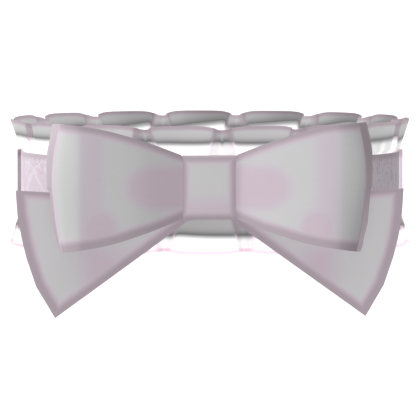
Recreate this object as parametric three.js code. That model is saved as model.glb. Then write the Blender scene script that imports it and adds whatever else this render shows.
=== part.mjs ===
import * as THREE from "three";
import { mergeVertices } from "three/addons/utils/BufferGeometryUtils.js";

// A bow choker: a lace band with a pleated ruffle along each edge, plain straps closing
// at the back, and a ribbon bow with two hanging tails on the front.
// Millimetres, +Z up. The origin is the neck's axis at the band's mid height, and the bow
// faces -Y. Angles run round the neck from the front centre (-Y) towards +X.

// The band.
const BAND_OUTER_R = 55.8;
const BAND_WALL = 1.0;
const BAND_HALF_HEIGHT = 8.5;
const PANEL_END_ANGLE = 95;
const CLOTH_GAP = 0.3;

// The plain straps, lapped over the panel's ends and meeting behind the neck.
const STRAP_INNER_R = 56.05;
const STRAP_WALL = 1.0;
const STRAP_HALF_HEIGHT = 8.9;
const STRAP_END_ANGLE = 90.5;
const STRAP_BEVEL_ANGLE = 1.1;
const STRAP_SLIT_ANGLE = 175;
const STRAP_SLIT_WIDTH = 0.6;

// The closing tab over the slit.
const TAB_WALL = 1.4;
const TAB_HALF_WIDTH_ANGLE = 7;
const TAB_HALF_HEIGHT = 6.5;

// The ruffles: fifteen box pleats each, tucked behind the band and flared to the hem.
const RUFFLE_FOOT_R_FRONT = 54.5;
const RUFFLE_FOOT_R_BACK = 55.75;
const RUFFLE_TUCK_Z = 5.5;
const RUFFLE_EDGE_Z = 8.8;
const RUFFLE_RADIAL_WALL = 1.5;
const RUFFLE_SLIT_WIDTH = 0.5;
const GAP_HALF_ANGLE_FOOT = 3.9;
const GAP_HALF_ANGLE_HEM = 2.9;
const VALLEY_DEPTH_FOOT = 0.3;
const VALLEY_DEPTH_EDGE = 1.0;
const VALLEY_DEPTH_MIDDLE = 2.1;
const VALLEY_DEPTH_HEM = 3.3;
const FLARE_MIDDLE = 0.45;
// The foot steps outwards where the panel under it gives way to the straps.
const FOOT_STEP_FROM_ANGLE = 97;
const FOOT_STEP_TO_ANGLE = 103;
// valleys: the angles of the valleys between the pleats. A ruffle's two ends meet in the
// first, which is also the last, a full turn on.
const UPPER = {
  side: 1,
  hemRadius: 58.7,
  valleys: [
    172, 194.9, 217.7, 239, 265, 296.2, 318, 340.1, 363.8, 386.2, 408.8, 431.2, 464.6,
    487, 509.2, 532,
  ],
  hemMiddleZ: 17.7,
  hemCornerZ: 17.3,
  hemValleyZ: 16.6,
};
const LOWER = {
  side: -1,
  hemRadius: 59.0,
  valleys: [
    178.5, 203.2, 227.9, 252.7, 277.4, 302.8, 325.3, 347.8, 370.4, 392.9, 415.4, 439.5,
    464.2, 489, 513.8, 538.5,
  ],
  hemMiddleZ: 18.95,
  hemCornerZ: 17.9,
  hemValleyZ: 17.3,
};

// The bow. It leans a little: its right side stands higher than its left.
const BOW_LEAN = 0.0055;
const RIBBON_WALL = 1.0;

const TAIL_BACK_Y = -56.3;
// Right tail's outline, seen from the front: x, z.
const TAIL_OUTLINE = [
  { x: 0.4, z: -1.2 },
  { x: 46.0, z: -1.0 },
  { x: 55.6, z: -0.4 },
  { x: 55.1, z: -7.5 },
  { x: 53.9, z: -14.1 },
  { x: 52.5, z: -19.8 },
  { x: 49.7, z: -28.1 },
  { x: 44.5, z: -36.8 },
  { x: 6.2, z: -9.2 },
  { x: 0.4, z: -8.6 },
];

const KNOT_HALF_WIDTH = 7.6;
const KNOT_TOP_Z = 9.5;
const KNOT_BOTTOM_Z = -8.8;
const KNOT_BACK_Y = -57.6;
const KNOT_FRONT_Y = -64.0;
const KNOT_WALL = 1.0;
const KNOT_FRONT_WALL = 1.2;
const KNOT_CORNER_R = 1.4;
const KNOT_INNER_CORNER_R = 0.2;

// Right loop's ribbon, from its front end in the knot, round the loop's outer end and back
// into the knot. x and y are the outer face, top and bottom its edges, bulge how far the
// middle of its height stands out sideways.
const LOOP_PATH = [
  { x: 0.6, y: -62.5, top: 8.1, bottom: -7.4, bulge: 0 },
  { x: 7.95, y: -62.5, top: 8.1, bottom: -7.4, bulge: 0 },
  { x: 9.0, y: -63.0, top: 9.9, bottom: -8.9, bulge: 0 },
  { x: 16.0, y: -65.0, top: 12.7, bottom: -11.6, bulge: 0 },
  { x: 24.0, y: -67.4, top: 15.5, bottom: -14.1, bulge: 0 },
  { x: 30.0, y: -69.4, top: 17.3, bottom: -15.9, bulge: 0 },
  { x: 34.0, y: -70.8, top: 18.1, bottom: -16.8, bulge: 0 },
  { x: 37.0, y: -71.2, top: 18.5, bottom: -17.2, bulge: 0.2 },
  { x: 40.0, y: -69.3, top: 18.75, bottom: -17.7, bulge: 0.7 },
  { x: 42.8, y: -65.6, top: 18.9, bottom: -18.1, bulge: 1.4 },
  { x: 45.0, y: -61.8, top: 18.85, bottom: -18.0, bulge: 1.7 },
  { x: 45.1, y: -59.6, top: 18.6, bottom: -17.7, bulge: 1.4 },
  { x: 43.4, y: -57.9, top: 18.1, bottom: -17.2, bulge: 1.0 },
  { x: 36.0, y: -57.6, top: 17.4, bottom: -16.2, bulge: 0 },
  { x: 24.0, y: -57.6, top: 14.6, bottom: -13.1, bulge: 0 },
  { x: 16.0, y: -57.8, top: 11.9, bottom: -10.7, bulge: 0 },
  { x: 9.0, y: -58.6, top: 8.9, bottom: -8.0, bulge: 0 },
  { x: 7.95, y: -58.9, top: 8.1, bottom: -7.4, bulge: 0 },
  { x: 0.6, y: -58.9, top: 8.1, bottom: -7.4, bulge: 0 },
];
const LOOP_ROWS = 6;
// The sharpest turn over which the ribbon keeps its full thickness.
const LEAST_CORNER_COSINE = 0.6;

const toRadians = THREE.MathUtils.degToRad;
const mix = THREE.MathUtils.lerp;
const ease = THREE.MathUtils.smoothstep;

function ringPoint(radius, angle, z) {
  const a = toRadians(angle);
  return new THREE.Vector3(radius * Math.sin(a), -radius * Math.cos(a), z);
}

// A closed solid from a list of triangle corners, with its faces turned outwards.
function solidFrom(corners) {
  const positions = new Float32Array(corners.length * 3);
  let volume = 0;
  corners.forEach((p, i) => p.toArray(positions, i * 3));
  for (let i = 0; i < corners.length; i += 3) {
    const normal = new THREE.Vector3().crossVectors(corners[i + 1], corners[i + 2]);
    volume += corners[i].dot(normal);
  }
  if (volume < 0) {
    for (let i = 0; i < corners.length; i += 3) {
      corners[i + 2].toArray(positions, (i + 1) * 3);
      corners[i + 1].toArray(positions, (i + 2) * 3);
    }
  }
  const geometry = new THREE.BufferGeometry();
  geometry.setAttribute("position", new THREE.BufferAttribute(positions, 3));
  const merged = mergeVertices(geometry, 1e-4);
  merged.computeVertexNormals();
  return merged;
}

// A cloth wall between an outer and an inner face, each given as columns of points that
// run from one edge of the cloth to the other.
function clothWall(outer, inner) {
  const corners = [];
  const quad = (a, b, c, d) => corners.push(a, b, c, a, c, d);
  const last = outer.length - 1;
  const top = outer[0].length - 1;
  for (let i = 0; i < last; i += 1) {
    for (let j = 0; j < top; j += 1) {
      quad(outer[i][j], outer[i + 1][j], outer[i + 1][j + 1], outer[i][j + 1]);
      quad(inner[i][j], inner[i][j + 1], inner[i + 1][j + 1], inner[i + 1][j]);
    }
    quad(outer[i][top], outer[i + 1][top], inner[i + 1][top], inner[i][top]);
    quad(outer[i][0], inner[i][0], inner[i + 1][0], outer[i + 1][0]);
  }
  for (let j = 0; j < top; j += 1) {
    quad(outer[0][j], outer[0][j + 1], inner[0][j + 1], inner[0][j]);
    quad(outer[last][j], inner[last][j], inner[last][j + 1], outer[last][j + 1]);
  }
  return solidFrom(corners);
}

function cloth(name, color, geometry, roughness = 0.5) {
  const material = new THREE.MeshStandardMaterial({ color, roughness, metalness: 0 });
  const mesh = new THREE.Mesh(geometry, material);
  mesh.name = name;
  return mesh;
}

// An upright strip of the band between two angles; the ends may be cut on a slant.
function bandStrip(innerR, outerR, from, to, innerFrom, innerTo, halfHeight) {
  const steps = Math.max(2, Math.ceil(Math.abs(to - from) / 5));
  const shape = new THREE.Shape();
  for (let i = 0; i <= steps; i += 1) {
    const p = ringPoint(outerR, mix(from, to, i / steps), 0);
    if (i === 0) shape.moveTo(p.x, p.y);
    else shape.lineTo(p.x, p.y);
  }
  for (let i = steps; i >= 0; i -= 1) {
    const p = ringPoint(innerR, mix(innerFrom, innerTo, i / steps), 0);
    shape.lineTo(p.x, p.y);
  }
  shape.closePath();
  const geometry = new THREE.ExtrudeGeometry(shape, {
    depth: halfHeight * 2,
    bevelEnabled: false,
    steps: 1,
  });
  geometry.translate(0, 0, -halfHeight);
  return geometry;
}

function arcAngle(width, radius) {
  return THREE.MathUtils.radToDeg(width / radius);
}

// One pleated ruffle: an open strip round the neck whose two ends meet in a back valley.
function ruffle(shape) {
  const rows = [
    { z: RUFFLE_TUCK_Z, flare: 0, depth: VALLEY_DEPTH_FOOT },
    { z: RUFFLE_EDGE_Z, flare: 0, depth: VALLEY_DEPTH_EDGE },
    {
      z: mix(RUFFLE_EDGE_Z, shape.hemCornerZ, 0.5),
      flare: FLARE_MIDDLE,
      depth: VALLEY_DEPTH_MIDDLE,
    },
    { z: shape.hemCornerZ, flare: 1, depth: VALLEY_DEPTH_HEM },
  ];
  const slitHalf = arcAngle(RUFFLE_SLIT_WIDTH, BAND_OUTER_R) / 2;
  const outer = [];
  const inner = [];
  const addColumn = (angleAt, isValley, middle) => {
    const out = [];
    const back = [];
    rows.forEach((row, j) => {
      const angle = angleAt(row.flare);
      const wrapped = Math.abs(THREE.MathUtils.euclideanModulo(angle + 180, 360) - 180);
      const behind = ease(wrapped, FOOT_STEP_FROM_ANGLE, FOOT_STEP_TO_ANGLE);
      const foot = mix(RUFFLE_FOOT_R_FRONT, RUFFLE_FOOT_R_BACK, behind);
      const crest = mix(foot, shape.hemRadius, row.flare);
      const radius = isValley ? crest - row.depth : crest;
      let z = row.z;
      if (j === rows.length - 1) {
        z = isValley ? shape.hemValleyZ : mix(shape.hemCornerZ, shape.hemMiddleZ, middle);
      }
      out.push(ringPoint(radius, angle, shape.side * z));
      back.push(ringPoint(radius - RUFFLE_RADIAL_WALL, angle, shape.side * z));
    });
    outer.push(out);
    inner.push(back);
  };
  const pleatCount = shape.valleys.length - 1;
  addColumn(() => shape.valleys[0] + slitHalf, true, 0);
  for (let k = 0; k < pleatCount; k += 1) {
    const from = shape.valleys[k];
    const to = shape.valleys[k + 1];
    for (const share of [-1, -0.5, 0, 0.5, 1]) {
      const column = (flare) => {
        const gap = mix(GAP_HALF_ANGLE_FOOT, GAP_HALF_ANGLE_HEM, flare);
        return (from + to) / 2 + share * ((to - from) / 2 - gap);
      };
      addColumn(column, false, 1 - share * share);
    }
    const isLast = k === pleatCount - 1;
    addColumn(() => (isLast ? to - slitHalf : to), true, 0);
  }
  return clothWall(outer, inner);
}

// The plan of the ribbon moved inwards by the ribbon's thickness.
function insetPlan(plan, distance) {
  return plan.map((point, i) => {
    const before = plan[Math.max(i - 1, 0)];
    const after = plan[Math.min(i + 1, plan.length - 1)];
    const a = new THREE.Vector2().subVectors(point, before);
    const b = new THREE.Vector2().subVectors(after, point);
    if (a.lengthSq() === 0) a.copy(b);
    if (b.lengthSq() === 0) b.copy(a);
    const na = new THREE.Vector2(-a.y, a.x).normalize();
    const nb = new THREE.Vector2(-b.y, b.x).normalize();
    const normal = na.clone().add(nb).normalize();
    const reach = distance / Math.max(normal.dot(na), LEAST_CORNER_COSINE);
    return point.clone().addScaledVector(normal, reach);
  });
}

function bowLoop(side) {
  const outer = LOOP_PATH.map(() => []);
  const inner = LOOP_PATH.map(() => []);
  for (let j = 0; j <= LOOP_ROWS; j += 1) {
    const t = j / LOOP_ROWS;
    const middle = 1 - (2 * t - 1) ** 2;
    const plan = LOOP_PATH.map((p) => new THREE.Vector2(p.x + p.bulge * middle, p.y));
    const within = insetPlan(plan, RIBBON_WALL);
    LOOP_PATH.forEach((p, i) => {
      const z = mix(p.bottom, p.top, t);
      const lean = side * plan[i].x * BOW_LEAN;
      outer[i].push(new THREE.Vector3(side * plan[i].x, plan[i].y, z + lean));
      inner[i].push(new THREE.Vector3(side * within[i].x, within[i].y, z + lean));
    });
  }
  return clothWall(outer, inner);
}

function bowTail(side) {
  const shape = new THREE.Shape();
  TAIL_OUTLINE.forEach((p, i) => {
    const x = side * p.x;
    const z = p.z + x * BOW_LEAN;
    if (i === 0) shape.moveTo(x, z);
    else shape.lineTo(x, z);
  });
  shape.closePath();
  const geometry = new THREE.ExtrudeGeometry(shape, {
    depth: RIBBON_WALL,
    bevelEnabled: false,
  });
  geometry.rotateX(Math.PI / 2);
  return geometry;
}

// The knot: a strip of ribbon wrapped round the loops' ends, open at its two sides.
function roundedRect(path, y0, y1, z0, z1, r) {
  path.moveTo(y0 + r, z0);
  path.lineTo(y1 - r, z0);
  path.absarc(y1 - r, z0 + r, r, -Math.PI / 2, 0, false);
  path.lineTo(y1, z1 - r);
  path.absarc(y1 - r, z1 - r, r, 0, Math.PI / 2, false);
  path.lineTo(y0 + r, z1);
  path.absarc(y0 + r, z1 - r, r, Math.PI / 2, Math.PI, false);
  path.lineTo(y0, z0 + r);
  path.absarc(y0 + r, z0 + r, r, Math.PI, Math.PI * 1.5, false);
  return path;
}

function bowKnot() {
  const shape = roundedRect(
    new THREE.Shape(),
    KNOT_FRONT_Y,
    KNOT_BACK_Y,
    KNOT_BOTTOM_Z,
    KNOT_TOP_Z,
    KNOT_CORNER_R,
  );
  const hole = roundedRect(
    new THREE.Path(),
    KNOT_FRONT_Y + KNOT_FRONT_WALL,
    KNOT_BACK_Y - KNOT_WALL,
    KNOT_BOTTOM_Z + KNOT_WALL,
    KNOT_TOP_Z - KNOT_WALL,
    KNOT_INNER_CORNER_R,
  );
  shape.holes.push(hole);
  const geometry = new THREE.ExtrudeGeometry(shape, {
    depth: KNOT_HALF_WIDTH * 2,
    bevelEnabled: false,
    curveSegments: 4,
  });
  // The drawn plane is (y, z), and the strip's width runs along x.
  const toPlace = new THREE.Matrix4().makeBasis(
    new THREE.Vector3(0, 1, 0),
    new THREE.Vector3(0, 0, 1),
    new THREE.Vector3(1, 0, 0),
  );
  geometry.applyMatrix4(toPlace);
  geometry.translate(-KNOT_HALF_WIDTH, 0, 0);
  return geometry;
}

const choker = new THREE.Group();
choker.name = "bow_choker";

choker.add(
  cloth(
    "band_front",
    "#ded1dc",
    bandStrip(
      BAND_OUTER_R - BAND_WALL,
      BAND_OUTER_R,
      -PANEL_END_ANGLE,
      PANEL_END_ANGLE,
      -PANEL_END_ANGLE,
      PANEL_END_ANGLE,
      BAND_HALF_HEIGHT,
    ),
    0.7,
  ),
);

const slitHalf = arcAngle(STRAP_SLIT_WIDTH, STRAP_INNER_R) / 2;
const straps = [
  { name: "strap_right", side: 1, meet: STRAP_SLIT_ANGLE - slitHalf },
  { name: "strap_left", side: -1, meet: STRAP_SLIT_ANGLE + slitHalf - 360 },
];
for (const strap of straps) {
  const geometry = bandStrip(
    STRAP_INNER_R,
    STRAP_INNER_R + STRAP_WALL,
    strap.side * STRAP_END_ANGLE,
    strap.meet,
    strap.side * (STRAP_END_ANGLE + STRAP_BEVEL_ANGLE),
    strap.meet,
    STRAP_HALF_HEIGHT,
  );
  choker.add(cloth(strap.name, "#cfc3cd", geometry));
}

const tabInnerR = STRAP_INNER_R + STRAP_WALL + CLOTH_GAP;
choker.add(
  cloth(
    "back_clasp",
    "#c7bac5",
    bandStrip(
      tabInnerR,
      tabInnerR + TAB_WALL,
      STRAP_SLIT_ANGLE - TAB_HALF_WIDTH_ANGLE,
      STRAP_SLIT_ANGLE + TAB_HALF_WIDTH_ANGLE,
      STRAP_SLIT_ANGLE - TAB_HALF_WIDTH_ANGLE,
      STRAP_SLIT_ANGLE + TAB_HALF_WIDTH_ANGLE,
      TAB_HALF_HEIGHT,
    ),
  ),
);

choker.add(cloth("upper_ruffle", "#d8d2d7", ruffle(UPPER)));
choker.add(cloth("lower_ruffle", "#dcd6db", ruffle(LOWER)));

for (const [name, side] of [["bow_tail_left", -1], ["bow_tail_right", 1]]) {
  const tail = cloth(name, "#c9bfc8", bowTail(side), 0.45);
  tail.position.y = TAIL_BACK_Y;
  choker.add(tail);
}

choker.add(cloth("bow_loop_left", "#cfc5cd", bowLoop(-1), 0.45));
choker.add(cloth("bow_loop_right", "#cfc5cd", bowLoop(1), 0.45));
choker.add(cloth("bow_knot", "#c6bac4", bowKnot(), 0.45));

export default choker;
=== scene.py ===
import math

import bpy
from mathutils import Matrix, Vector, noise


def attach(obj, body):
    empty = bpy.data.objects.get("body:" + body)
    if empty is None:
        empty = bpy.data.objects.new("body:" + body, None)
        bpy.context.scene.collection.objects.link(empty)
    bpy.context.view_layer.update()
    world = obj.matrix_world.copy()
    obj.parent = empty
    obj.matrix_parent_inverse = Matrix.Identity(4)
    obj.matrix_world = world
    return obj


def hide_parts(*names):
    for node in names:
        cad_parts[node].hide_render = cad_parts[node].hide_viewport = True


# Bow choker. Metres, +Z up, origin on the neck's axis at the band's mid height, and the
# bow faces -Y. Sizes are written in millimetres and turned into metres by MM.
# Angles run round the neck from the front centre towards +X, in degrees.

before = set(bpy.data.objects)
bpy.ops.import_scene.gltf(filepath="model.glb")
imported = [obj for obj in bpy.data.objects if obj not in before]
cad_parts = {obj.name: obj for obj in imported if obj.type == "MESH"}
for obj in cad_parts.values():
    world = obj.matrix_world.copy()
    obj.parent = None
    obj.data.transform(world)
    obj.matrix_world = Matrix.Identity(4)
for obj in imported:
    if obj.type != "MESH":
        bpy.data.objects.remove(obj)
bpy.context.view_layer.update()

MM = 0.001

# Band and straps.
BAND_R = 55.8
BAND_HALF_HEIGHT = 8.3
BAND_THICK = 0.6
PANEL_END = 95.0
STRAP_R = 56.9
STRAP_THICK = 0.9
STRAP_HALF_HEIGHT = 8.55
STRAP_END = 90.5
STRAP_BEVEL = 1.1
# How much painted shade each strap's front end has, on the right and the left; less than zero
# is painted light.
STRAP_END_PAINTED_SHADE = {1: -0.28, -1: 0.19}
STRAP_MEET = 175.0
STRAP_SLIT = 0.3
TAB_R = 58.5
TAB_THICK = 1.2
TAB_HALF_ANGLE = 7.0
TAB_HALF_HEIGHT = 6.5

# Ruffles: box pleats, each a panel whose cloth turns back into the valleys beside it.
TUCK_Z = 5.6
EDGE_Z = 8.5
RUFFLE_THICK = 0.3
RUFFLE_TURNING = 0.6
SEAM_WAVE = 0.35
HEM_SWAY = 0.16
FOOT_R_FRONT = 54.95
FOOT_R_BACK = 55.9
FOOT_STEP = (97.0, 103.0)
BEHIND = (95, 110)
EDGE_R = 55.75
# Half a valley from its middle ridge to the panel's pressed fold: share of its width and
# how deep the cloth lies, and how much painted shade it has.
VALLEY = [
    (0.0, 1.75, 0.1),
    (0.09, 1.9, 0.12),
    (0.22, 2.15, 0.15),
    (0.38, 2.3, 0.17),
    (0.54, 2.1, 0.17),
    (0.68, 1.7, 0.17),
    (0.8, 1.25, 0.16),
    (0.9, 0.75, 0.13),
    (0.97, 0.35, 0.07),
    (1.0, 0.12, 0.03),
]
# Distances in from a panel's pressed fold, and how deep the cloth lies there.
PANEL_EDGE = [(0.15, 0.03), (0.4, -0.03), (0.9, -0.08), (1.8, -0.12)]
PANEL_STEPS = 6
PANEL_CROWN = -0.2
HEM_DROP_AT_FOLD = 0.6
HEM_DROP_REACH = 2.2
HEM_RAISED_BEHIND = 0.13
RUFFLE_SLIT_HALF_ANGLE = 0.12
# valleys: their angles. A ruffle's two ends meet in the first, which is also the last.
# gap_foot, gap_hem: a valley's half width at its foot and hem, in degrees.
# leaning: the angle at its foot and these two widths for a valley that leans or is narrower.
# seam: the height of the dark seam at the start and end of each panel, and the shares of
# the panel, from its end, between which it changes.
# hem_valley: a valley's hem at the front and at the sides and back.
# hem_step: the share of a valley over which its hem drops.
UPPER = {
    "name": "ruffle_upper",
    "node": "upper_ruffle",
    "side": 1,
    "hem_r": 58.7,
    "hem": 17.75,
    "hem_valley": (16.55, 16.55),
    "gap_foot": 4.2,
    "gap_hem": 2.3,
    "hem_step": 0.6,
    "valleys": [172, 194.9, 217.7, 240.3, 265, 295.4, 318, 340.4, 363.6, 386.2, 408.8, 429.9]
    + [464.6, 486.3, 508.5, 532],
    "leaning": {
        0: (172, 4.2, 1.85),
        1: (194.9, 4.2, 1.85),
        5: (292.5, 3.0, 1.9),
        7: (341.0, 4.2, 2.3),
        11: (433.4, 2.5, 1.8),
        15: (532, 4.2, 1.85),
    },
    "seam": [
        (15.0, 13.2, 0.0, 0.92),
        (15.0, 13.4, 0.4, 1.0),
        (13.9, 13.0, 0.1, 0.9),
        (13.0, 13.0, 0.1, 0.9),
        (13.4, 13.5, 0.1, 0.9),
        (13.2, 13.2, 0.1, 0.9),
        (12.9, 12.9, 0.1, 0.9),
        (12.95, 12.95, 0.1, 0.9),
        (13.0, 12.8, 0.1, 0.9),
        (12.8, 12.5, 0.1, 0.9),
        (12.4, 12.9, 0.1, 0.9),
        (12.2, 13.5, 0.1, 0.9),
        (15.2, 14.5, 0.1, 0.58),
        (15.1, 13.4, 0.0, 0.7),
        (15.1, 13.4, -0.25, 0.95),
    ],
    "seam_valley": 13.15,
}
LOWER = {
    "name": "ruffle_lower",
    "node": "lower_ruffle",
    "side": -1,
    "hem_r": 59.0,
    "hem": 18.95,
    "hem_valley": (18.3, 17.4),
    "gap_foot": 3.9,
    "gap_hem": 1.95,
    "valleys": [178.5, 203.2, 227.9, 252.7, 277.4, 302.8, 325.3, 346.9, 370.2, 392.9, 415.4]
    + [439.5, 464.2, 489, 513.8, 538.5],
    "leaning": {},
    "hem_step": 0.85,
    "seam": [(13.3, 13.55, 0.1, 0.9)] * 15,
    "seam_valley": 13.4,
}

# Bow.
BOW_X = -0.2
LEAN = 0.0055
RIBBON_THICK = 0.5
KNOT = {"half_width": 7.6, "top": 9.5, "bottom": -8.8, "front": -64.0, "back": -57.7}
KNOT_CORNER_R = 1.1
KNOT_LAP = 2.0
TAIL_Y = -57.2
TAIL_FLAT = (37.0, 56.0)

# The right loop's ribbon from its front end in the knot, round its outer end and back, in
# rows of (x, y, top, bottom, bulge, low_x, low_y).
# x, y: its outer face. top, bottom: its edges. bulge: how far its mid height stands out.
# low_x, low_y: how far its lower edge is set in and back.
LOOP_FRONT = [
    (0.8, -62.6, 8.3, -7.6, 0, 0, 0),
    (6.6, -62.6, 9.0, -8.0, 0, 0, 0),
    (8.3, -62.95, 9.87, -8.75, 0, 0, 0),
    (12.0, -64.5, 11.38, -10.25, 0, 0, 0),
    (16.0, -66.2, 12.97, -11.75, 0, 0, 0),
    (20.0, -67.7, 14.37, -13.08, 0, 0, 0),
    (24.0, -68.95, 15.62, -14.37, 0, 0, 0),
    (28.0, -70.0, 16.78, -15.42, 0, 0, 0),
    (32.0, -70.9, 17.7, -16.25, 0, 0, 0),
    (35.0, -71.4, 18.25, -16.7, 0.05, 0, 0),
    (37.0, -71.55, 18.5, -17.05, 0.2, -0.05, 0.1),
    (38.3, -71.3, 18.62, -17.22, 0.5, -0.12, 0.3),
    (39.5, -70.8, 18.72, -17.4, 0.9, -0.22, 0.5),
    (40.7, -70.0, 18.8, -17.6, 1.35, -0.32, 0.7),
    (41.7, -68.9, 18.86, -17.75, 1.75, -0.42, 0.9),
    (42.5, -67.6, 18.9, -17.9, 2.1, -0.5, 1.0),
]
LOOP_BACK = [
    (42.5, -67.6, 18.9, -17.9, 2.1, -0.5, 1.0),
    (43.5, -65.3, 18.9, -18.1, 2.05, -1.2, 0.9),
    (44.5, -62.9, 18.88, -18.05, 1.95, -2.0, 0.6),
    (45.0, -60.9, 18.7, -17.9, 1.85, -2.4, 0.3),
    (44.3, -59.2, 18.4, -17.6, 1.5, -2.4, 0.1),
    (42.0, -58.2, 17.9, -17.1, 0.8, -1.6, 0),
    (36.0, -57.8, 17.2, -16.0, 0, 0, 0),
    (24.0, -57.8, 14.6, -13.1, 0, 0, 0),
    (16.0, -57.9, 11.9, -10.7, 0, 0, 0),
    (8.3, -58.5, 8.8, -7.9, 0, 0, 0),
    (6.6, -58.8, 8.1, -7.4, 0, 0, 0),
    (0.8, -58.8, 7.9, -7.2, 0, 0, 0),
]

# How far the loops' pressed fold and their outer limb stand out beyond that, by height.
# Below its upper edge, each tail presses the limb in.
FOLD_OUT = [(-6.4, 0.0), (-2.9, 0.05), (0.5, 0.28), (3.9, 0.33), (10.8, 0.28), (18.0, 0.05)]
LIMB_OUT = {
    1: [(-17.0, 0.8), (-13.2, 0.45), (-9.8, 0.5), (-6.4, 0.15), (-0.6, -0.1), (0.3, 0.35)]
    + [(7.3, 0.35), (10.8, 0.5), (14.2, 0.3), (18.0, 0.0)],
    -1: [(-9.8, 0.1), (-6.4, -0.1), (-3.0, -0.5), (-0.6, -0.45), (0.3, 0.25), (10.8, 0.25)]
    + [(14.2, -0.05), (18.0, -0.1)],
}
# The painted shade of the loops' outer side against other mauve, from its bottom to its top;
# less than zero is painted light.
SIDE_PAINTED_SHADE = {
    1: [(0.1, -0.56), (0.22, -0.46), (0.41, -0.18), (0.5, -0.05), (0.69, 0.09), (0.9, 0.16)],
    -1: [(0.0, 0.06), (0.47, 0.02), (0.5, 0.09), (0.6, 0.04), (0.78, -0.02), (0.92, -0.12)],
}

# Each tail's cut, seen from the front and measured outwards from the bow's middle.
TAIL_CUTS = {
    1: {
        "top": [(0.4, -1.2), (46.0, -1.0), (55.75, -0.4)],
        "outer": [
            (55.75, -0.4),
            (55.3, -7.5),
            (54.3, -14.1),
            (52.9, -19.8),
            (50.1, -28.1),
            (44.85, -37.05),
        ],
        "lower": [(0.4, -8.6), (6.2, -9.2), (44.85, -37.05)],
    },
    -1: {
        "top": [(0.4, -1.2), (46.0, -1.0), (55.55, -0.4)],
        "outer": [
            (55.55, -0.4),
            (55.05, -7.5),
            (53.9, -14.1),
            (52.5, -19.8),
            (49.7, -28.1),
            (44.27, -37.18),
        ],
        "lower": [(0.4, -8.8), (6.2, -9.4), (18.0, -18.2), (44.27, -37.18)],
    },
}


def mix(a, b, t):
    return a + (b - a) * t


def ease(value, low, high):
    t = min(max((value - low) / (high - low), 0.0), 1.0)
    return t * t * (3 - 2 * t)


def table(value, rows):
    """The number at value between rows of (place, number), in rising order."""
    if value <= rows[0][0]:
        return rows[0][1]
    for (a, p), (b, q) in zip(rows, rows[1:]):
        if value <= b:
            return mix(p, q, (value - a) / (b - a))
    return rows[-1][1]


def ring_point(radius, angle, z):
    a = math.radians(angle)
    return Vector((radius * math.sin(a), -radius * math.cos(a), z)) * MM


def from_front(angle):
    """The angle from the front centre, 0 to 180, whichever way round."""
    return abs((angle + 180) % 360 - 180)


# Curves through rows of numbers.


def spline(points, t):
    """A smooth curve through points (tuples of numbers) at t from 0 to len(points) - 1."""
    last = len(points) - 1
    i = min(int(t), last - 1)
    f = t - i
    p0, p1 = points[max(i - 1, 0)], points[i]
    p2, p3 = points[i + 1], points[min(i + 2, last)]
    return tuple(
        0.5 * (2 * b + (c - a) * f + (2 * a - 5 * b + 4 * c - d) * f**2
               + (3 * b - a - 3 * c + d) * f**3)
        for a, b, c, d in zip(p0, p1, p2, p3)
    )


def along(points, count, smooth=True):
    """count + 1 places an even distance apart on the curve through points. The distance is
    measured on the first two numbers of each point."""
    fine = 40 * (len(points) - 1)
    track = []
    for k in range(fine + 1):
        t = k * (len(points) - 1) / fine
        if smooth:
            track.append(spline(points, t))
        else:
            i = min(int(t), len(points) - 2)
            track.append(tuple(mix(a, b, t - i) for a, b in zip(points[i], points[i + 1])))
    run = [0.0]
    for a, b in zip(track, track[1:]):
        run.append(run[-1] + math.dist(a[:2], b[:2]))
    places, j = [], 0
    for k in range(count + 1):
        goal = run[-1] * k / count
        while j < len(run) - 2 and run[j + 1] < goal:
            j += 1
        share = (goal - run[j]) / max(run[j + 1] - run[j], 1e-9)
        places.append(tuple(mix(a, b, share) for a, b in zip(track[j], track[j + 1])))
    return places, run[-1]


# Sheets of cloth.

SMOOTH_BELOW = 50


def cloth(name, columns, rows, place, marks, flat, thick, turned=False):
    """A flat grid of cloth, shaped by moving each of its points to place(i, j) and given
    its thickness. marks(i, j) are the numbers that its material reads. The UV map is the
    flat cloth in millimetres. turned: its columns are counted from the other end, so that
    its faces point outwards."""
    bpy.ops.object.select_all(action="DESELECT")
    bpy.ops.mesh.primitive_grid_add(x_subdivisions=columns, y_subdivisions=rows, size=1)
    piece = bpy.context.object
    piece.name = piece.data.name = name
    mesh = piece.data
    found = {}
    for vertex in mesh.vertices:
        i = round((vertex.co.x + 0.5) * columns)
        j = round((vertex.co.y + 0.5) * rows)
        i = columns - i if turned else i
        vertex.co = place(i, j)
        for key, value in marks(i, j).items():
            found.setdefault(key, [0.0] * len(mesh.vertices))[vertex.index] = value
    for key, values in found.items():
        mesh.attributes.new(key, "FLOAT", "POINT").data.foreach_set("value", values)
    for corner in mesh.uv_layers.active.data:
        corner.uv = (corner.uv[0] * flat[1], corner.uv[1] * flat[0])
    outer = len(mesh.vertices)
    wall = piece.modifiers.new("thickness", "SOLIDIFY")
    wall.thickness = thick * MM
    wall.offset = -1
    bpy.ops.object.modifier_apply(modifier=wall.name)
    inside = [float(k >= outer) for k in range(len(mesh.vertices))]
    mesh.attributes.new("inside", "FLOAT", "POINT").data.foreach_set("value", inside)
    bpy.ops.object.shade_smooth_by_angle(angle=math.radians(SMOOTH_BELOW))
    return piece


def finish_piece(piece, materials, nodes, flat):
    for material in materials:
        piece.data.materials.append(material)
    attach(piece, "root")
    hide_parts(*nodes)


# Materials.


def node(tree, kind, inputs=None, **settings):
    made = tree.nodes.new(kind)
    for key, value in settings.items():
        setattr(made, key, value)
    for key, value in (inputs or {}).items():
        socket = made.inputs[key]
        if isinstance(value, bpy.types.NodeSocket):
            tree.links.new(value, socket)
        else:
            socket.default_value = value
    return made


def maths(tree, operation, a, b=0.0):
    return node(tree, "ShaderNodeMath", {0: a, 1: b}, operation=operation).outputs[0]


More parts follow.
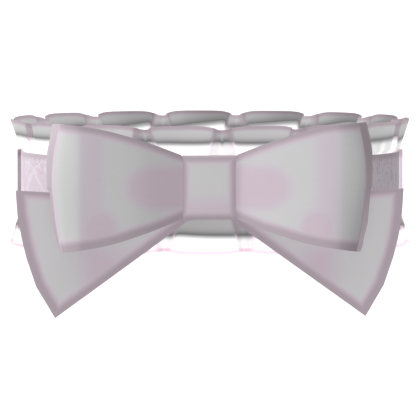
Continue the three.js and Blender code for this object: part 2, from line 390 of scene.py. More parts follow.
def ramp(tree, value, stops):
    """A colour ramp with stops of (place, colour)."""
    made = node(tree, "ShaderNodeValToRGB", {"Fac": value})
    band = made.color_ramp
    band.interpolation = "LINEAR"
    while len(band.elements) < len(stops):
        band.elements.new(0.5)
    for element, (place, colour) in zip(band.elements, stops):
        element.position = place
        element.color = (*colour, 1)
    return made.outputs["Color"]


def blend(tree, share, a, b):
    """Colour a, or b where share is 1."""
    made = node(tree, "ShaderNodeMix", data_type="RGBA")
    for index, value in ((0, share), (6, a), (7, b)):
        if isinstance(value, bpy.types.NodeSocket):
            tree.links.new(value, made.inputs[index])
        elif isinstance(value, tuple):
            made.inputs[index].default_value = (*value, 1)
        else:
            made.inputs[index].default_value = value
    return made.outputs[2]


def spread(tree, value, low, high, to_low=0.0, to_high=1.0):
    inputs = {"Value": value, "From Min": low, "From Max": high}
    inputs.update({"To Min": to_low, "To Max": to_high})
    made = node(tree, "ShaderNodeMapRange", inputs, interpolation_type="SMOOTHSTEP")
    return made.outputs["Result"]


def mark(tree, name):
    return node(tree, "ShaderNodeAttribute", attribute_name=name).outputs["Fac"]


FRONT_LIGHT = 1.11


def dye(code):
    """The linear colour of cloth that shows as the sRGB code under FRONT_LIGHT."""
    parts = [int(code[k : k + 2], 16) / 255 for k in (0, 2, 4)]
    linear = [p / 12.92 if p <= 0.04045 else ((p + 0.055) / 1.055) ** 2.4 for p in parts]
    return tuple(min(p / FRONT_LIGHT, 0.97) for p in linear)


def cloth_grain_group():
    """Woven grain from a UV map in millimetres: fine crossed threads and longer slubs."""
    group = bpy.data.node_groups.new("cloth_grain", "ShaderNodeTree")
    sockets = group.interface
    sockets.new_socket("Flat cloth", in_out="INPUT", socket_type="NodeSocketVector")
    for name, value in (("Threads per mm", 4.0), ("Slub length", 6.0)):
        made = sockets.new_socket(name, in_out="INPUT", socket_type="NodeSocketFloat")
        made.default_value = value
    sockets.new_socket("Height", in_out="OUTPUT", socket_type="NodeSocketFloat")
    sockets.new_socket("Slub", in_out="OUTPUT", socket_type="NodeSocketFloat")
    start = node(group, "NodeGroupInput").outputs
    apart = node(group, "ShaderNodeSeparateXYZ", {0: start["Flat cloth"]}).outputs
    turns = maths(group, "MULTIPLY", start["Threads per mm"], math.tau)
    warp = maths(group, "SINE", maths(group, "MULTIPLY", apart["X"], turns))
    weft = maths(group, "SINE", maths(group, "MULTIPLY", apart["Y"], turns))
    weave = maths(group, "MULTIPLY", warp, weft)
    drawn = node(
        group,
        "ShaderNodeCombineXYZ",
        {"X": maths(group, "DIVIDE", apart["X"], start["Slub length"]), "Y": apart["Y"]},
    ).outputs[0]
    slub = node(
        group,
        "ShaderNodeTexNoise",
        {"Vector": drawn, "Scale": 1.6, "Detail": 3.0, "Roughness": 0.6},
    ).outputs[0]
    height = maths(group, "MULTIPLY_ADD", weave, 0.25)
    height.node.inputs[2].default_value = 0.5
    total = maths(group, "ADD", height, maths(group, "MULTIPLY", slub, 0.6))
    node(group, "NodeGroupOutput", {"Height": total, "Slub": slub})
    return group


def grain(tree, group, threads=4.0, slub_length=6.0):
    made = node(tree, "ShaderNodeGroup", node_tree=group)
    uv = node(tree, "ShaderNodeUVMap").outputs[0]
    tree.links.new(uv, made.inputs["Flat cloth"])
    made.inputs["Threads per mm"].default_value = threads
    made.inputs["Slub length"].default_value = slub_length
    return made.outputs


def new_material(name):
    material = bpy.data.materials.new(name)
    material.use_nodes = True
    material.node_tree.nodes.clear()
    return material, material.node_tree


def bump(tree, height, strength, distance_mm):
    inputs = {"Height": height, "Strength": strength, "Distance": distance_mm * MM}
    return node(tree, "ShaderNodeBump", inputs).outputs[0]


def surface(tree, shader):
    node(tree, "ShaderNodeOutputMaterial", {"Surface": shader})


NEUTRAL = dye("c0bfc0")
MAUVE = dye("a699a1")
LILAC = dye("c0b1bb")
TINTS = [(0.0, NEUTRAL), (0.6, dye("c0b8c0")), (0.8, dye("c0b5be")), (1.0, LILAC)]


def darker(tree, colour, share):
    """The colour with that share of its light taken away."""
    left = maths(tree, "SUBTRACT", 1.0, share)
    made = node(tree, "ShaderNodeVectorMath", {0: colour}, operation="SCALE")
    tree.links.new(left, made.inputs["Scale"])
    return made.outputs[0]


def cloth_body(tree, colour, height, strength, roughness=0.6):
    inputs = {
        "Base Color": colour,
        "Roughness": roughness,
        "Specular IOR Level": 0.2,
        "Sheen Weight": 0.1,
        "Sheen Roughness": 0.4,
        "Normal": bump(tree, height, strength, 0.05),
    }
    return node(tree, "ShaderNodeBsdfPrincipled", inputs).outputs[0]


def grey(value):
    return (value, value, value)


# A colour ramp reads 0 to 1, which stands for 0 to 4 mm from an edge or a seam.
PER_MM = 0.25


def by_distance(rows):
    """Ramp stops for rows of (millimetres, share)."""
    return [(distance * PER_MM, grey(share)) for distance, share in rows]


# The shares of mauve and of lilac in from the ribbon's edge.
BORDER = by_distance([(0, 0.97), (1.15, 1), (1.55, 0.8), (2, 0.42), (2.4, 0.14), (2.75, 0)])
FRINGE = by_distance([(0, 1), (2.35, 1), (2.8, 0.6), (3.2, 0.2), (3.6, 0)])


def satin_material(name, group):
    """Ribbon satin. The edge mark is the distance to its edges, which are mauve and then
    lilac. The tint mark is how lilac it is; near the loops' knot that lilac is also painted
    shade of the gathers. The shade mark is how much painted shade it has, and less than
    zero is painted light."""
    material, tree = new_material(name)
    thread = grain(tree, group)
    edge = mark(tree, "edge")
    inwards = maths(tree, "MULTIPLY", edge, PER_MM)
    fringe = ramp(tree, inwards, FRINGE)
    tint = maths(tree, "MAXIMUM", mark(tree, "tint"), fringe)
    tinted = ramp(tree, tint, TINTS)
    border = ramp(tree, inwards, BORDER)
    bordered = blend(tree, border, tinted, MAUVE)
    uneven = spread(tree, thread["Slub"], 0.3, 0.7, -0.008, 0.008)
    colour = darker(tree, bordered, maths(tree, "ADD", uneven, mark(tree, "shade")))
    surface(tree, cloth_body(tree, colour, thread["Height"], 0.15))
    return material


def lace_material(group):
    """Crushed lace: a lilac ground with pale crossing creases and small mauve flecks."""
    material, tree = new_material("crushed_lace")
    thread = grain(tree, group, threads=3.0, slub_length=2.0)
    uv = node(tree, "ShaderNodeUVMap").outputs[0]

    def streaks(turn, long, wide, detail=2.0, seed=0.0):
        inputs = {"Vector": uv, "Rotation": (0, 0, turn), "Scale": (long, wide, 1)}
        inputs["Location"] = (seed, seed, 0)
        turned = node(tree, "ShaderNodeMapping", inputs, vector_type="TEXTURE").outputs[0]
        inputs = {"Vector": turned, "Scale": 1.0, "Detail": detail, "Distortion": 0.25}
        return node(tree, "ShaderNodeTexNoise", inputs).outputs[0]

    along_u = node(tree, "ShaderNodeSeparateXYZ", {0: uv}).outputs[0]
    to_right = spread(tree, along_u, 60, 120)
    rising, falling = streaks(0.62, 18, 2.6), streaks(-0.75, 14, 2.2, seed=31.0)
    crossed = maths(tree, "MAXIMUM", rising, falling)
    upright = streaks(1.5, 9, 0.7, 3.0, 7.0)
    pale = maths(tree, "MULTIPLY", spread(tree, crossed, 0.54, 0.6), 0.9)
    flecks = streaks(0.4, 1.4, 0.9, 4.0, 3.0)
    fleck = maths(tree, "MULTIPLY", spread(tree, flecks, 0.56, 0.66), 0.75)
    patches = spread(tree, streaks(0.3, 5, 4, seed=11.0), 0.45, 0.6, 0.12, 0.85)
    dark = maths(tree, "MULTIPLY", spread(tree, upright, 0.48, 0.58), patches)
    dark = maths(tree, "MULTIPLY", dark, maths(tree, "ADD", to_right, 0.12))
    # Painted shade and painted light: the ground is darker on the lit left and lighter towards
    # the shaded right.
    plain = blend(tree, to_right, (0.465, 0.392, 0.445), (0.535, 0.475, 0.53))
    ground = blend(tree, pale, plain, (0.525, 0.475, 0.525))
    flecked = blend(tree, fleck, ground, (0.41, 0.345, 0.385))
    marked = blend(tree, dark, flecked, (0.385, 0.325, 0.355))
    ragged = maths(tree, "ADD", mark(tree, "edge"), spread(tree, upright, 0.3, 0.7, 0.5, -0.9))
    hem = maths(tree, "MULTIPLY", spread(tree, ragged, 0.7, 1.9, 1.0, 0.0), 0.9)
    colour = blend(tree, hem, marked, (0.37, 0.305, 0.345))
    relief = maths(tree, "ADD", maths(tree, "MULTIPLY", crossed, 1.4), thread["Height"])
    surface(tree, cloth_body(tree, colour, relief, 0.6, 0.7))
    return material


# The share of light that comes through the ruffles' cloth, and the faint painted light that
# the organza gives off as a glow.
THROUGH_PLEATS = 0.45
THROUGH_ORGANZA = 0.4
ORGANZA_PAINTED_GLOW = 0.03


def pleat_material(name, group, plateau):
    """The crisp cloth of a ruffle. The seam mark is the distance to the dark seam, the hem
    mark to the hem and the fold mark to a panel's pressed fold, both mauve; the mauve at the
    fold is partly trim and partly painted shade of the rounded fold. The shade and inner
    marks are the painted shade on its outer and inner faces. plateau: how light it is away
    from them."""
    material, tree = new_material(name)
    thread = grain(tree, group, threads=5.0, slub_length=4.0)
    stops = [(0.0, 0.4), (0.04, 0.45), (0.1, 0.56), (0.17, 0.68), (0.28, 0.83), (0.42, 0.93)]
    stops += [(0.6, 0.98), (0.8, 1.0)]
    lit = tuple(plateau * v for v in dye("ffffff"))
    ground = ramp(
        tree,
        maths(tree, "MULTIPLY", mark(tree, "seam"), PER_MM),
        [(place, tuple(v * share for v in lit)) for place, share in stops],
    )
    border = spread(tree, mark(tree, "hem"), 0.35, 1.55, 1.0, 0.0)
    hem = blend(tree, maths(tree, "MULTIPLY", border, 0.95), ground, dye("baabb4"))
    pressed = spread(tree, mark(tree, "fold"), 0.0, 1.3, 0.6, 0.0)
    trimmed = blend(tree, pressed, hem, dye("ab9da6"))
    inside = mark(tree, "inside")
    outer = maths(tree, "MULTIPLY", maths(tree, "SUBTRACT", 1.0, inside), mark(tree, "shade"))
    inner = maths(tree, "MULTIPLY", inside, mark(tree, "inner"))
    colour = darker(tree, trimmed, maths(tree, "ADD", inner, outer))
    body = cloth_body(tree, colour, thread["Height"], 0.2)
    glow = node(tree, "ShaderNodeBsdfTranslucent", {"Color": colour})
    parts = {0: THROUGH_PLEATS, 1: body, 2: glow.outputs[0]}
    both = node(tree, "ShaderNodeMixShader", parts)
    surface(tree, both.outputs[0])
    return material


def sheer_material(name, group):
    """White organza on the seam's other side, with pale pink folds and hem. The shade mark
    is the painted shade of its valleys and creases, and on the left of its folds and hem."""
    material, tree = new_material(name)
    thread = grain(tree, group, threads=5.0, slub_length=4.0)
    stops = [(0.0, "888888"), (0.05, "989898"), (0.13, "bcbcbc"), (0.21, "d9d9d9")]
    stops += [(0.29, "ededed"), (0.37, "fafafa"), (0.43, "ffffff")]
    ground = ramp(
        tree,
        maths(tree, "MULTIPLY", mark(tree, "seam"), -PER_MM),
        [(place, dye(code)) for place, code in stops],
    )
    border = spread(tree, mark(tree, "hem"), 0.55, 1.3, 1.0, 0.0)
    hem = blend(tree, border, ground, dye("f4dfe8"))
    pressed = spread(tree, mark(tree, "fold"), 0.02, 0.4, 0.5, 0.0)
    trimmed = blend(tree, pressed, hem, dye("fbdcec"))
    soft = maths(tree, "MULTIPLY", mark(tree, "shade"), 1.15)
    colour = darker(tree, trimmed, soft)
    body = cloth_body(tree, colour, thread["Height"], 0.2)
    # Painted light: a faint white glow from the organza, which is no lamp.
    body.node.inputs["Emission Color"].default_value = (1, 1, 1, 1)
    body.node.inputs["Emission Strength"].default_value = ORGANZA_PAINTED_GLOW
    glow = node(tree, "ShaderNodeBsdfTranslucent", {"Color": colour})
    parts = {0: THROUGH_ORGANZA, 1: body, 2: glow.outputs[0]}
    both = node(tree, "ShaderNodeMixShader", parts)
    surface(tree, both.outputs[0])
    return material


# Pieces of the band.


def band_strip(name, start, end, radius, half_height, thick, end_painted_shade=0.0):
    """An upright strip round the neck between two angles. end_painted_shade: how much painted
    shade its front end has; less than zero is painted light."""
    columns = max(8, round(abs(end - start) * 0.8))
    rows = 24
    length = math.radians(abs(end - start)) * radius

    def place(i, j):
        angle = mix(start, end, i / columns)
        return ring_point(radius, angle, mix(-half_height, half_height, j / rows))

    def marks(i, j):
        z = mix(-half_height, half_height, j / rows)
        tint = 0.5 if i in (0, columns) else 0.0
        # Painted shade at the strap's front end, fading over a few degrees; less than zero is
        # painted light.
        away = abs(abs(mix(start, end, i / columns)) - STRAP_END)
        shade = end_painted_shade * (1 - ease(away, 2.0, 8.0))
        return {"edge": half_height - abs(z), "tint": tint, "shade": shade}

    flat = (2 * half_height, length)
    return cloth(name, columns, rows, place, marks, flat, thick), flat


def slant_end(strap, side):
    """The strap's front end is cut on a slant: its inner edge lies further back."""
    middle = (STRAP_R - STRAP_THICK / 2) * MM
    for vertex in strap.data.vertices:
        angle = math.degrees(math.atan2(vertex.co.x, -vertex.co.y))
        if abs(abs(angle) - STRAP_END) < 0.2 and vertex.co.xy.length < middle:
            z = vertex.co.z / MM
            radius = vertex.co.xy.length / MM
            vertex.co = ring_point(radius, side * (STRAP_END + STRAP_BEVEL), z)


# Ruffles.


# Panels of the upper ruffle whose white organza gets painted shade of soft upward creases.
CREASE_PAINTED_PANELS = (10, 11)
# Half a pleat from valley to mid panel. Each column: what it is, its share of the valley,
# its distance in from the fold or its share of the panel, its depth and its painted shade.
HALF_PLEAT = [("valley", share, depth, shade) for share, depth, shade in VALLEY]
HALF_PLEAT += [("edge", inset, depth, 0.0) for inset, depth in PANEL_EDGE]
HALF_PLEAT += [
    ("panel", k / PANEL_STEPS * 0.5, PANEL_CROWN, 0.0) for k in range(1, PANEL_STEPS + 1)
]


def ruffle(shape, materials):
    """A ruffle of box pleats, sewn in behind the band and flaring to its hem."""
    pleats = len(shape["valleys"]) - 1
    half = len(HALF_PLEAT) - 1
    columns = 2 * half * pleats
    tuck_rows, seam_rows, hem_rows = 4, 12, 14
    rows = tuck_rows + seam_rows + hem_rows
    side = shape["side"]
    upper = side > 0

    def valley(k, up):
        """The angle and half width of valley k, so far up."""
        foot, gap_foot, gap_hem = shape["leaning"].get(
            k, (shape["valleys"][k], shape["gap_foot"], shape["gap_hem"])
        )
        return mix(foot, shape["valleys"][k], up), mix(gap_foot, gap_hem, up)

    def column(i):
        """Everything about column i that doesn't depend on the row: its pleat, whether it
        is in the second half, and how far in from the fold and how deep it lies."""
        k = min(i // (2 * half), pleats - 1)
        c = i - 2 * half * k
        mirrored = c > half
        kind, where, depth, shade = HALF_PLEAT[2 * half - c if mirrored else c]
        (a, gap_a), (b, gap_b) = valley(k, 1.0), valley(k + 1, 1.0)
        gap = math.radians(gap_b if mirrored else gap_a) * shape["hem_r"]
        first = PANEL_EDGE[-1][0]
        if kind == "valley":
            inset = (where - 1) * gap
        elif kind == "edge":
            inset = where
        else:
            middle = math.radians(b - a) / 2 * shape["hem_r"] - gap
            inset = mix(first, middle, where * 2)
            depth = mix(PANEL_EDGE[-1][1], depth, math.sin(where * math.pi))
        return k, mirrored, inset, depth, shade, gap

    def angle_at(i, up):
        k, mirrored, inset, _, _, gap_length = column(i)
        (a, gap_a), (b, gap_b) = valley(k, up), valley(k + 1, up)
        gap = gap_b if mirrored else gap_a
        if inset < 0:
            turn = (1 + inset / gap_length) * gap
        else:
            (a1, _), (b1, _) = valley(k, 1.0), valley(k + 1, 1.0)
            panel = math.radians(b1 - a1) / 2 * shape["hem_r"] - gap_length
            turn = gap + inset / panel * ((b - a) / 2 - gap)
        return b - turn if mirrored else a + turn

    def hem_z(i):
        _, _, inset, _, _, width = column(i)
        if inset >= 0:
            drop = HEM_DROP_AT_FOLD * math.exp(-((inset / HEM_DROP_REACH) ** 1.4))
            behind = ease(from_front(angle_at(i, 1.0)), *BEHIND)
            raised = HEM_RAISED_BEHIND * behind if upper else 0.0
            return shape["hem"] - drop + raised * ease(inset, 0, 2)
        at_fold = shape["hem"] - HEM_DROP_AT_FOLD
        step = ease(-inset / width, 0, shape["hem_step"])
        front, aside = shape["hem_valley"]
        lowest = mix(front, aside, ease(from_front(angle_at(i, 1.0)), 20, 60))
        return mix(at_fold, lowest, step)

    def seam_z(i):
        k, _, inset, _, _, width = column(i)
        a, b = shape["valleys"][k], shape["valleys"][k + 1]
        angle = angle_at(i, 0.5)
        if inset < 0:
            z = shape["seam_valley"] - (0.4 * ease(-inset / width, 0.75, 1.0) if upper else 0)
            return z + 0.25 * ease(-inset / width, 0.05, 0.4)
        start, end, first, last = shape["seam"][k]
        share = (b - angle) / (b - a)
        z = mix(end, start, ease(share, first, last))
        wave = noise.noise(Vector((angle * 0.09, side * 4.0, 0))) * SEAM_WAVE
        on_panel = ease(inset, 0.0, 1.2)
        return mix(shape["seam_valley"] + 0.1, z + wave, on_panel)

    def row_z(i, j):
        """The height of row j, and how far up it is from the band's edge to the hem."""
        hem = hem_z(i)
        if j <= tuck_rows:
            z = mix(TUCK_Z, EDGE_Z, j / tuck_rows)
        elif j <= tuck_rows + seam_rows:
            z = mix(EDGE_Z, seam_z(i), (j - tuck_rows) / seam_rows)
        else:
            z = mix(seam_z(i), hem, (j - tuck_rows - seam_rows) / hem_rows)
        return z, (z - EDGE_Z) / (hem - EDGE_Z)

    def place(i, j):
        depth = column(i)[3]
        z, level = row_z(i, j)
        up = max(level, 0.0)
        angle = angle_at(i, up)
        if i in (0, columns):
            angle += RUFFLE_SLIT_HALF_ANGLE if i == 0 else -RUFFLE_SLIT_HALF_ANGLE
        foot = mix(FOOT_R_FRONT, FOOT_R_BACK, ease(from_front(angle), *FOOT_STEP))
        edge = mix(foot, EDGE_R, ease(level, -0.02, 0.1))
        crest = mix(edge, shape["hem_r"], up)
        opened = mix(0.25, 1.0, ease(up, -0.3, 0.8)) if level > 0 else 0.25
        sway = noise.noise(Vector((angle * 0.11, level * 1.5, side))) * HEM_SWAY * up
        return ring_point(crest - depth * opened + sway, angle, side * z)

    def marks(i, j):
        k, _, inset, _, shade, _ = column(i)
        z = row_z(i, j)[0]
        line = z - seam_z(i) if upper else seam_z(i) - z
        behind = ease(from_front(angle_at(i, 1.0)), *BEHIND)
        if upper and line < 0:
            line *= mix(1.0, 0.43 - 0.14 * line, behind)
        # In the grey cloth the mauve at the pressed fold is partly trim and partly painted
        # shade of the rounded fold, reaching into the valley.
        fold = inset * 1.5 if inset > 0 else -inset * 0.65
        a, b = shape["valleys"][k], shape["valleys"][k + 1]
        x = math.sin(math.radians((a + b) / 2))
        across = (b - angle_at(i, 1.0)) / (b - a)
        # Painted shade on the panels' inner faces: less on the left, varying across each
        # panel, lighter near the seam.
        deepest = mix(0.22, 0.46, ease(across, 0.05, 0.7))
        inner = mix(0.15, deepest, ease(x, -0.9, -0.2)) * ease(inset, -0.6, 0.2)
        inner *= mix(0.62, 1.0, ease(line, 0.0, 1.2))
        # The valleys' painted shade is weaker at the sides.
        shade *= mix(1.0, 0.35, ease(abs(x), 0.5, 0.85))
        # Painted shade of soft upward creases in these panels' organza.
        if upper and k in CREASE_PAINTED_PANELS:
            crease = noise.noise(Vector((angle_at(i, 1.0) * 0.3, 0, 7.0)))
            shade += (0.2 + 0.2 * crease) * ease(-line, 0.0, 0.6) * ease(inset, 0, 1)
        if line < 0:
            # On the brighter left side the pressed folds and the hem get painted shade so that
            # they still show as lines.
            near_hem = 1 - ease(hem_z(i) - z, 0.6, 1.3)
            at_fold = 1.0 if -0.1 <= inset <= 0.16 else 0.0
            shade += 0.17 * at_fold * (1 - near_hem) * ease(-x, 0.8, 0.95)
            shade += 0.14 * near_hem * ease(-x, 0.4, 0.9)
        found = {"seam": line, "hem": hem_z(i) - z, "fold": fold, "shade": shade}
        found["inner"] = inner
        return found

    run = sum((place(i, rows) - place(i + 1, rows)).length / MM for i in range(columns))
    flat = (shape["hem"] - TUCK_Z + RUFFLE_TURNING, run)
    thick = RUFFLE_THICK
    piece = cloth(shape["name"], columns, rows, place, marks, flat, thick, not upper)
    finish_piece(
        piece, materials, [shape["node"]], flat
    )
    seam = piece.data.attributes["seam"].data
    for face in piece.data.polygons:
        middle = sum(seam[v].value for v in face.vertices) / len(face.vertices)
        face.material_index = 0 if middle > 0 else 1


# The bow.


def bow_point(side, x, y, z):
    """A point of the bow's right half, or mirrored. The whole bow leans a little."""
    return Vector((side * x + BOW_X, y, z + side * x * LEAN)) * MM


def loop_tint_and_gather_shade(x, z):
    """How lilac the ribbon is: near the knot, where the lilac is also painted shade of the
    gathers, and in an upright band before its crown.
    """
    near = math.hypot(max(x - 15, 0) / 8.5, (z - 0.5) / 6.4)
    stripe = ease(x, 28.5, 32) * (1 - ease(x, 35, 38.5)) * 0.72
    low = math.hypot((x - 31) / 5.5, min(z + 11, 0) / 6 + max(z + 11, 0) / 6)
    return max(1 - ease(near, 0.72, 1.28), stripe, 1 - ease(low, 0.6, 1.2))


def bow_loop(side, material):
    name = "bow_ribbon_right" if side > 0 else "bow_ribbon_left"
    columns, rows = 190, 48
    lengths = [along(part, 100)[1] for part in (LOOP_FRONT, LOOP_BACK)]
    fold = round(columns * lengths[0] / sum(lengths))
    track = along(LOOP_FRONT, fold)[0][:-1] + along(LOOP_BACK, columns - fold)[0]
    nearest = max(range(columns + 1), key=lambda k: track[k][0])
    step = sum(lengths) / columns

    def spot(i, t):
        x, y, top, bottom, bulge, low_x, low_y = track[i]
        middle = 1 - (2 * t - 1) ** 2
        low = (1 - t) ** 2
        z = mix(bottom, top, t)
        if i < nearest:
            out = table(z, FOLD_OUT) * ease(x, 39.5, 42.0)
            out = mix(out, table(z, LIMB_OUT[side]), ease(x, 42.8, 44.7))
        else:
            out = table(z, LIMB_OUT[side]) * ease(x, 42.0, 44.7)
        return x + bulge * middle + low_x * low + out, y + low_y * low, z

    def place(i, j):
        t = j / rows
        x, y, z = spot(i, t)
        front = 1 if i < nearest else -1
        gather = math.exp(-max(x - 7.0, 0) / 7.0) * ease(x, 6.5, 10)
        wave = math.sin(t * 17 + side) * 0.07 + math.sin(t * 31 + 2) * 0.03
        soft = noise.noise(Vector((x * 0.06, t * 1.7, side * 3 + front))) * 0.2
        y += front * (wave * gather - soft * ease(x, 9, 20) * (1 - ease(x, 36, 40)))
        return bow_point(side, x, y, z)

    def marks(i, j):
        t = j / rows
        x, _, z = spot(i, t)
        tall = (track[i][2] - track[i][3]) * 0.95
        low = mix(0.0, -0.3, ease(x, 16, 22))
        edge = min((1 - t) * tall + 0.6, t * tall + low)
        # Painted shade on the left loop near the knot.
        shade = 0.08 * (1 - ease(x, 14, 26)) if side < 0 else 0.0
        tint = loop_tint_and_gather_shade(x, z)
        beyond = (i - fold) * step
        if beyond <= 0:
            edge = min(edge, 2.2 - beyond)
            # Painted shade on the lower outer part of the front face.
            shade += 0.1 * ease(x, 31, 41) * ease(1 - t, 0.1, 0.9)
        elif i < nearest + 12:
            edge = 1.2
            # Painted shade and painted light on the loop's outer side.
            shade = table(t, SIDE_PAINTED_SHADE[side])
        # A painted highlight along the left loop's pressed fold.
        if side < 0 and -0.1 < beyond < 0.6:
            shade = -0.14
        return {"edge": edge, "tint": tint, "shade": shade}

    tallest = max(row[2] - row[3] for row in LOOP_FRONT + LOOP_BACK)
    flat = (tallest, sum(lengths))
    piece = cloth(name, columns, rows, place, marks, flat, RIBBON_THICK, side < 0)
    nodes = ["bow_loop_right" if side > 0 else "bow_loop_left"]
    finish_piece(piece, [material], nodes, flat)


def polyline(points, t):
    """The place at share t of the length of a line through points."""
    runs = [math.dist(a, b) for a, b in zip(points, points[1:])]
    goal = t * sum(runs)
    for (a, b), run in zip(zip(points, points[1:]), runs):
        if goal <= run or (a, b) == (points[-2], points[-1]):
            return tuple(mix(p, q, min(goal / run, 1)) for p, q in zip(a, b))
        goal -= run


def off_line(point, points):
    """How far point is from the line through points."""
    best = 1e9
    for a, b in zip(points, points[1:]):
        run = (b[0] - a[0], b[1] - a[1])
        share = (point[0] - a[0]) * run[0] + (point[1] - a[1]) * run[1]
        share = min(max(share / (run[0] ** 2 + run[1] ** 2), 0), 1)
        best = min(best, math.dist(point, (a[0] + share * run[0], a[1] + share * run[1])))
    return best


def bow_tail(side, material):
    name = "bow_end_right" if side > 0 else "bow_end_left"
    columns, rows = 110, 60

    cut = TAIL_CUTS[side]

    def spot(i, j):
        u, v = i / columns, j / rows
        low, high = polyline(cut["lower"], u), polyline(cut["top"], u)
        x, z = (mix(a, b, v) for a, b in zip(low, high))
        outer = polyline(list(reversed(cut["outer"])), v)
        chord = tuple(mix(a, b, v) for a, b in zip(cut["lower"][-1], cut["top"][-1]))
        pull = u**3
        return x + pull * (outer[0] - chord[0]), z + pull * (outer[1] - chord[1])

    def place(i, j):
        x, z = spot(i, j)
        wave = noise.noise(Vector((x * 0.05, z * 0.07, 5 + side))) * 0.5
        y = TAIL_Y + 0.25 + wave * ease(x, 4, 25) * 0.5
        return bow_point(side, x, y, z)

    def marks(i, j):
        point = spot(i, j)
        sides = (("top", 0.6), ("outer", -0.5), ("lower", 0.0))
        edge = min(off_line(point, cut[line]) + extra for line, extra in sides)
        x, z = point
        low = ease(0.5 * max(x - 26, 0) - z, 15, 24)
        return {"edge": edge, "tint": low * (1 - ease(x, 32, 40.5)), "shade": 0.0}

    piece = cloth(name, columns, rows, place, marks, TAIL_FLAT, RIBBON_THICK, side < 0)
    nodes = ["bow_tail_right" if side > 0 else "bow_tail_left"]
    finish_piece(
        piece, [material], nodes, TAIL_FLAT
    )


def bow_wrap(material):
    """The knot: a strip wrapped round the loops' ends, lapped behind."""
    front, back = KNOT["front"], KNOT["back"]
    top, bottom = KNOT["top"], KNOT["bottom"]
    r, lap = KNOT_CORNER_R, KNOT_LAP
    ring = [(back, -lap - 1.0)]
    corners = [
        ((back - r, bottom + r), 0, -90),
        ((front + r, bottom + r), -90, -180),
        ((front + r, top - r), 180, 90),
        ((back - r, top - r), 90, 0),
    ]
    for (y, z), a0, a1 in corners:
        for k in range(7):
            a = math.radians(mix(a0, a1, k / 6))
            ring.append((y + r * math.cos(a), z + r * math.sin(a)))
    ring.append((back, lap + 3.0))
    ring.append((back - 0.05, lap))
    columns, rows = 150, 44
    track, length = along(ring, columns, smooth=False)
    half = KNOT["half_width"]

    def place(i, j):
        y, z = track[i]
        x = mix(-half, half, j / rows)
        if y < front + 0.6:
            y += 0.2 * (abs(x) / half) ** 3
        return bow_point(1, x, y, z)

    def marks(i, j):
        y, z = track[i]
        x = mix(-half, half, j / rows)
        beside = half - abs(x) + (0.6 if x > 0 else 1.0)
        rim = min(beside, top - z + 0.6, z - bottom + 0.3)
        if y > front + 0.8:
            rim = min(beside, 1.2)
        return {"edge": rim, "tint": 1 - ease(z, -6.0, 0.5), "shade": 0.0}

    flat = (2 * half, length)
    piece = cloth("bow_wrap", columns, rows, place, marks, flat, RIBBON_THICK, True)
    finish_piece(
        piece, [material], ["bow_knot"], flat
    )


# Everything is made here.

grain_group = cloth_grain_group()
satin = satin_material("bow_satin", grain_group)
plain_satin = satin_material("plain_satin", grain_group)
lace = lace_material(grain_group)
upper_pleats = [
    pleat_material("upper_pleats", grain_group, 0.59),
    sheer_material("upper_organza", grain_group),
]
lower_pleats = [
    pleat_material("lower_pleats", grain_group, 0.48),
    sheer_material("lower_organza", grain_group),
]

panel, flat = band_strip(
    "lace_panel", -PANEL_END, PANEL_END, BAND_R, BAND_HALF_HEIGHT, BAND_THICK
)
finish_piece(
    panel, [lace], ["band_front"], flat
)
for side, name, node_name in (
    (1, "side_strap_right", "strap_right"),
    (-1, "side_strap_left", "strap_left"),
):
    meet = STRAP_MEET - STRAP_SLIT if side > 0 else STRAP_MEET + STRAP_SLIT - 360
    start, end = sorted((side * STRAP_END, meet))
    strap, flat = band_strip(
        name, start, end, STRAP_R, STRAP_HALF_HEIGHT, STRAP_THICK, STRAP_END_PAINTED_SHADE[side]
    )
    slant_end(strap, side)
    finish_piece(
        strap, [plain_satin], [node_name], flat
    )
tab, flat = band_strip(
    "closing_tab",
    STRAP_MEET - TAB_HALF_ANGLE,
    STRAP_MEET + TAB_HALF_ANGLE,
    TAB_R,
    TAB_HALF_HEIGHT,
    TAB_THICK,
)
finish_piece(
    tab, [plain_satin], ["back_clasp"], flat
)
ruffle(UPPER, upper_pleats)
ruffle(LOWER, lower_pleats)
for side in (-1, 1):
    bow_tail(side, satin)
    bow_loop(side, satin)
bow_wrap(satin)


# Floor, light and camera.


# An even, bright studio, lit more from the left. Most of it is fill from twelve soft
# lamps all round that cast no shadows.
BRIGHTNESS = 1.05
TO_LEFT = 0.69
UPWARD = 0.36
FILL_SHARE = 0.88
SEEN_WHITE = 1.05
FLOOR_Z = -0.09


def fill_lamps():
    """Lamps in the twelve directions of an icosahedron's corners."""
    long, short = 0.8507, 0.5257
    for k in range(12):
        a, b = (1 if k & 1 else -1), (1 if k & 2 else -1)
        place = [0.0, a * short, b * long]
        place = place[k // 4 :] + place[: k // 4]
        toward = Vector(place)
        data = bpy.data.lights.new(f"fill_{k}", "SUN")
        even = math.pi * BRIGHTNESS * FILL_SHARE / 3
        data.energy = even * (1 - TO_LEFT * toward.x + UPWARD * toward.z)
        data.angle = math.radians(60)
        data.use_shadow = False
        lamp = bpy.data.objects.new(f"fill_{k}", data)
        bpy.context.scene.collection.objects.link(lamp)
        lamp.rotation_mode = "QUATERNION"
        lamp.rotation_quaternion = toward.to_track_quat("Z", "Y")


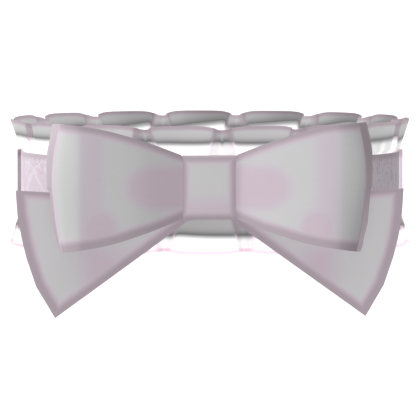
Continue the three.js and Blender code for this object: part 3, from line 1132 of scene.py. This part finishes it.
def studio():
    bpy.ops.object.select_all(action="DESELECT")
    bpy.ops.mesh.primitive_plane_add(size=8.0, location=(0, 0, FLOOR_Z))
    floor = bpy.context.object
    floor.name = "studio_floor"
    material, tree = new_material("pale_floor")
    inputs = {"Base Color": (0.97, 0.97, 0.97, 1), "Roughness": 0.9}
    body = node(tree, "ShaderNodeBsdfPrincipled", inputs)
    surface(tree, body.outputs[0])
    floor.data.materials.append(material)
    # The floor is a plain white ground for the eye and adds no light of its own.
    floor.visible_diffuse = floor.visible_glossy = floor.visible_transmission = False
    floor.visible_shadow = False

    world = bpy.data.worlds.new("studio")
    bpy.context.scene.world = world
    world.use_nodes = True
    tree = world.node_tree
    tree.nodes.clear()
    ray = node(tree, "ShaderNodeTexCoord").outputs["Generated"]
    share = 1 - FILL_SHARE
    ends = (BRIGHTNESS * (1 + TO_LEFT) * share, BRIGHTNESS * (1 - TO_LEFT) * share)
    sideways = node(tree, "ShaderNodeSeparateXYZ", {0: ray}).outputs["X"]
    inputs = {"Value": sideways, "From Min": -1, "From Max": 1}
    inputs.update({"To Min": ends[0], "To Max": ends[1]})
    glow = node(tree, "ShaderNodeMapRange", inputs).outputs["Result"]
    seen = node(tree, "ShaderNodeLightPath").outputs["Is Camera Ray"]
    either = {0: seen, 2: glow, 3: SEEN_WHITE}
    strength = node(tree, "ShaderNodeMix", either, data_type="FLOAT").outputs[0]
    sky = node(
        tree, "ShaderNodeBackground", {"Color": (1, 1, 1, 1), "Strength": strength}
    )
    node(tree, "ShaderNodeOutputWorld", {"Surface": sky.outputs[0]})


def photo_camera():
    """A long lens three degrees above the band, as in the photograph."""
    elevation = math.asin(0.0525)
    distance = 1.957
    target = Vector((0, 0, -0.0093))
    data = bpy.data.cameras.new("camera")
    data.sensor_width = 36.0
    data.lens = 567.7
    data.clip_start = 0.1
    data.clip_end = 20.0
    camera = bpy.data.objects.new("camera", data)
    bpy.context.scene.collection.objects.link(camera)
    back = Vector((0, -math.cos(elevation), math.sin(elevation)))
    camera.location = target + back * distance
    camera.rotation_mode = "QUATERNION"
    camera.rotation_quaternion = (-back).to_track_quat("-Z", "Y")
    bpy.context.scene.camera = camera
    bpy.context.scene.view_settings.view_transform = "Standard"


studio()
fill_lamps()
photo_camera()

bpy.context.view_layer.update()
